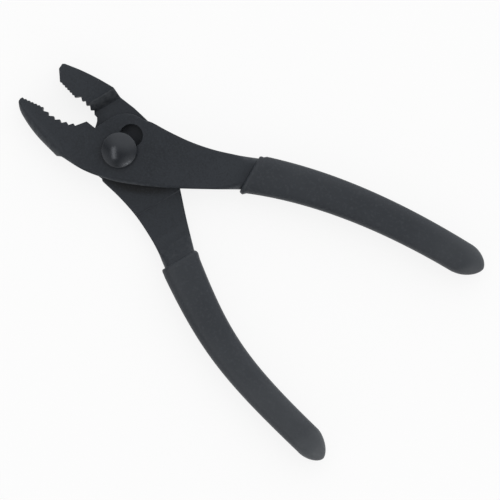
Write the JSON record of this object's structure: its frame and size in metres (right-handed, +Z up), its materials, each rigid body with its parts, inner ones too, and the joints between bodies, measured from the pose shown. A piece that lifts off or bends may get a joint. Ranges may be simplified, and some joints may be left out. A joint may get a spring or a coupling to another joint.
{
  "type": "slip-joint combination pliers",
  "caption": "Slip-joint combination pliers in black steel with dipped black grips; jaws with a flat, a toothed pipe grip and a cutter notch turn on a domed bolt that slips along a slot.",
  "frame": {"origin": "on the pivot axis, in the plane that the grips and the nut rest on", "axes": "+X along the tool from the jaws to the handles, +Y towards the handle of the front (upper) half, +Z up along the pivot axis towards the bolt's dome"},
  "size_m": [0.1929, 0.111, 0.0166],
  "materials": {
    "steel": "satin black oxide on forged steel",
    "bolt": "smooth black oxide",
    "grip": "matte dipped plastisol"
  },
  "bodies": {
    "front_lever": {"front_half": "steel", "front_grip": "grip"},
    "pivot": {"pivot_bolt": "bolt", "pivot_nut": "bolt"},
    "back_lever": {"back_half": "steel", "back_grip": "grip"}
  },
  "joints": [
    {"name": "slot_slip", "type": "slide", "parent": "front_lever", "child": "pivot", "axis": [0.0523, 0.9986, 0], "range_m": [0, 0.0077]},
    {"name": "jaw_hinge", "type": "hinge", "parent": "pivot", "child": "back_lever", "pos_m": [0, 0, 0], "axis": [0, 0, 1], "range_deg": [-20, 20]}
  ]
}
